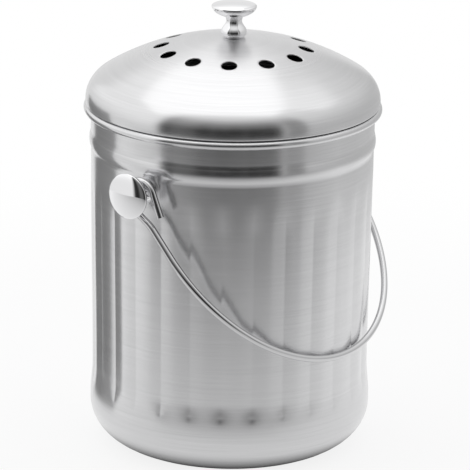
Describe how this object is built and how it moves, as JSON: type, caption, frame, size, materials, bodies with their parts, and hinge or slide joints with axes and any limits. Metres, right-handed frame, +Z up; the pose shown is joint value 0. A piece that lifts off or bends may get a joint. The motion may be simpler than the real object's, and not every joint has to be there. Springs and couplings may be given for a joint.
{
  "type": "kitchen compost caddy",
  "caption": "Round steel compost caddy: fluted bucket with rolled rim, lift-off vented dome lid with charcoal filter, knob, and a wire bail that swings on two side knobs.",
  "frame": {"origin": "middle of the base, at the height of the surface it stands on", "axes": "+Z up; the bail turns about X, whose ends carry the two side knobs; the bail hangs towards -Y"},
  "size_m": [0.2168, 0.1826, 0.2787],
  "materials": {
    "bucket_steel": "brushed round the body",
    "lid_steel": "satin spun",
    "knob_chrome": "mirror chrome",
    "bail_wire": "polished stainless wire",
    "screw_steel": "plain zinc-bright steel",
    "seal_rubber": "matt black",
    "retainer_plastic": "moulded black",
    "filter_charcoal": "charcoal fibre pad"
  },
  "bodies": {
    "bucket": {"bucket_shell": "bucket_steel", "pivot_knob_left": "knob_chrome", "pivot_knob_right": "knob_chrome", "pivot_screw_left": "screw_steel", "pivot_screw_right": "screw_steel", "pivot_seal_left": "seal_rubber", "pivot_seal_right": "seal_rubber", "pivot_washer_left": "screw_steel", "pivot_washer_right": "screw_steel"},
    "bail": {"bail_handle": "bail_wire"},
    "lid": {"lid_dome": "lid_steel", "lid_skirt": "lid_steel", "lid_knob": "knob_chrome", "lid_knob_screw": "screw_steel", "lid_knob_washer": "screw_steel"},
    "filter_cassette": {"filter_retainer": "retainer_plastic", "charcoal_filter": "filter_charcoal"}
  },
  "joints": [
    {"name": "bail_swing", "type": "hinge", "parent": "bucket", "child": "bail", "pos_m": [0, 0, 0.1805], "axis": [-1, 0, 0], "range_deg": [0, 281.3]},
    {"name": "lid_lift", "type": "slide", "parent": "bucket", "child": "lid", "axis": [0, 0, 1], "range_m": [0, 0.12]},
    {"name": "filter_pull", "type": "slide", "parent": "lid", "child": "filter_cassette", "axis": [0, 0, -1], "range_m": [0, 0.013]}
  ]
}
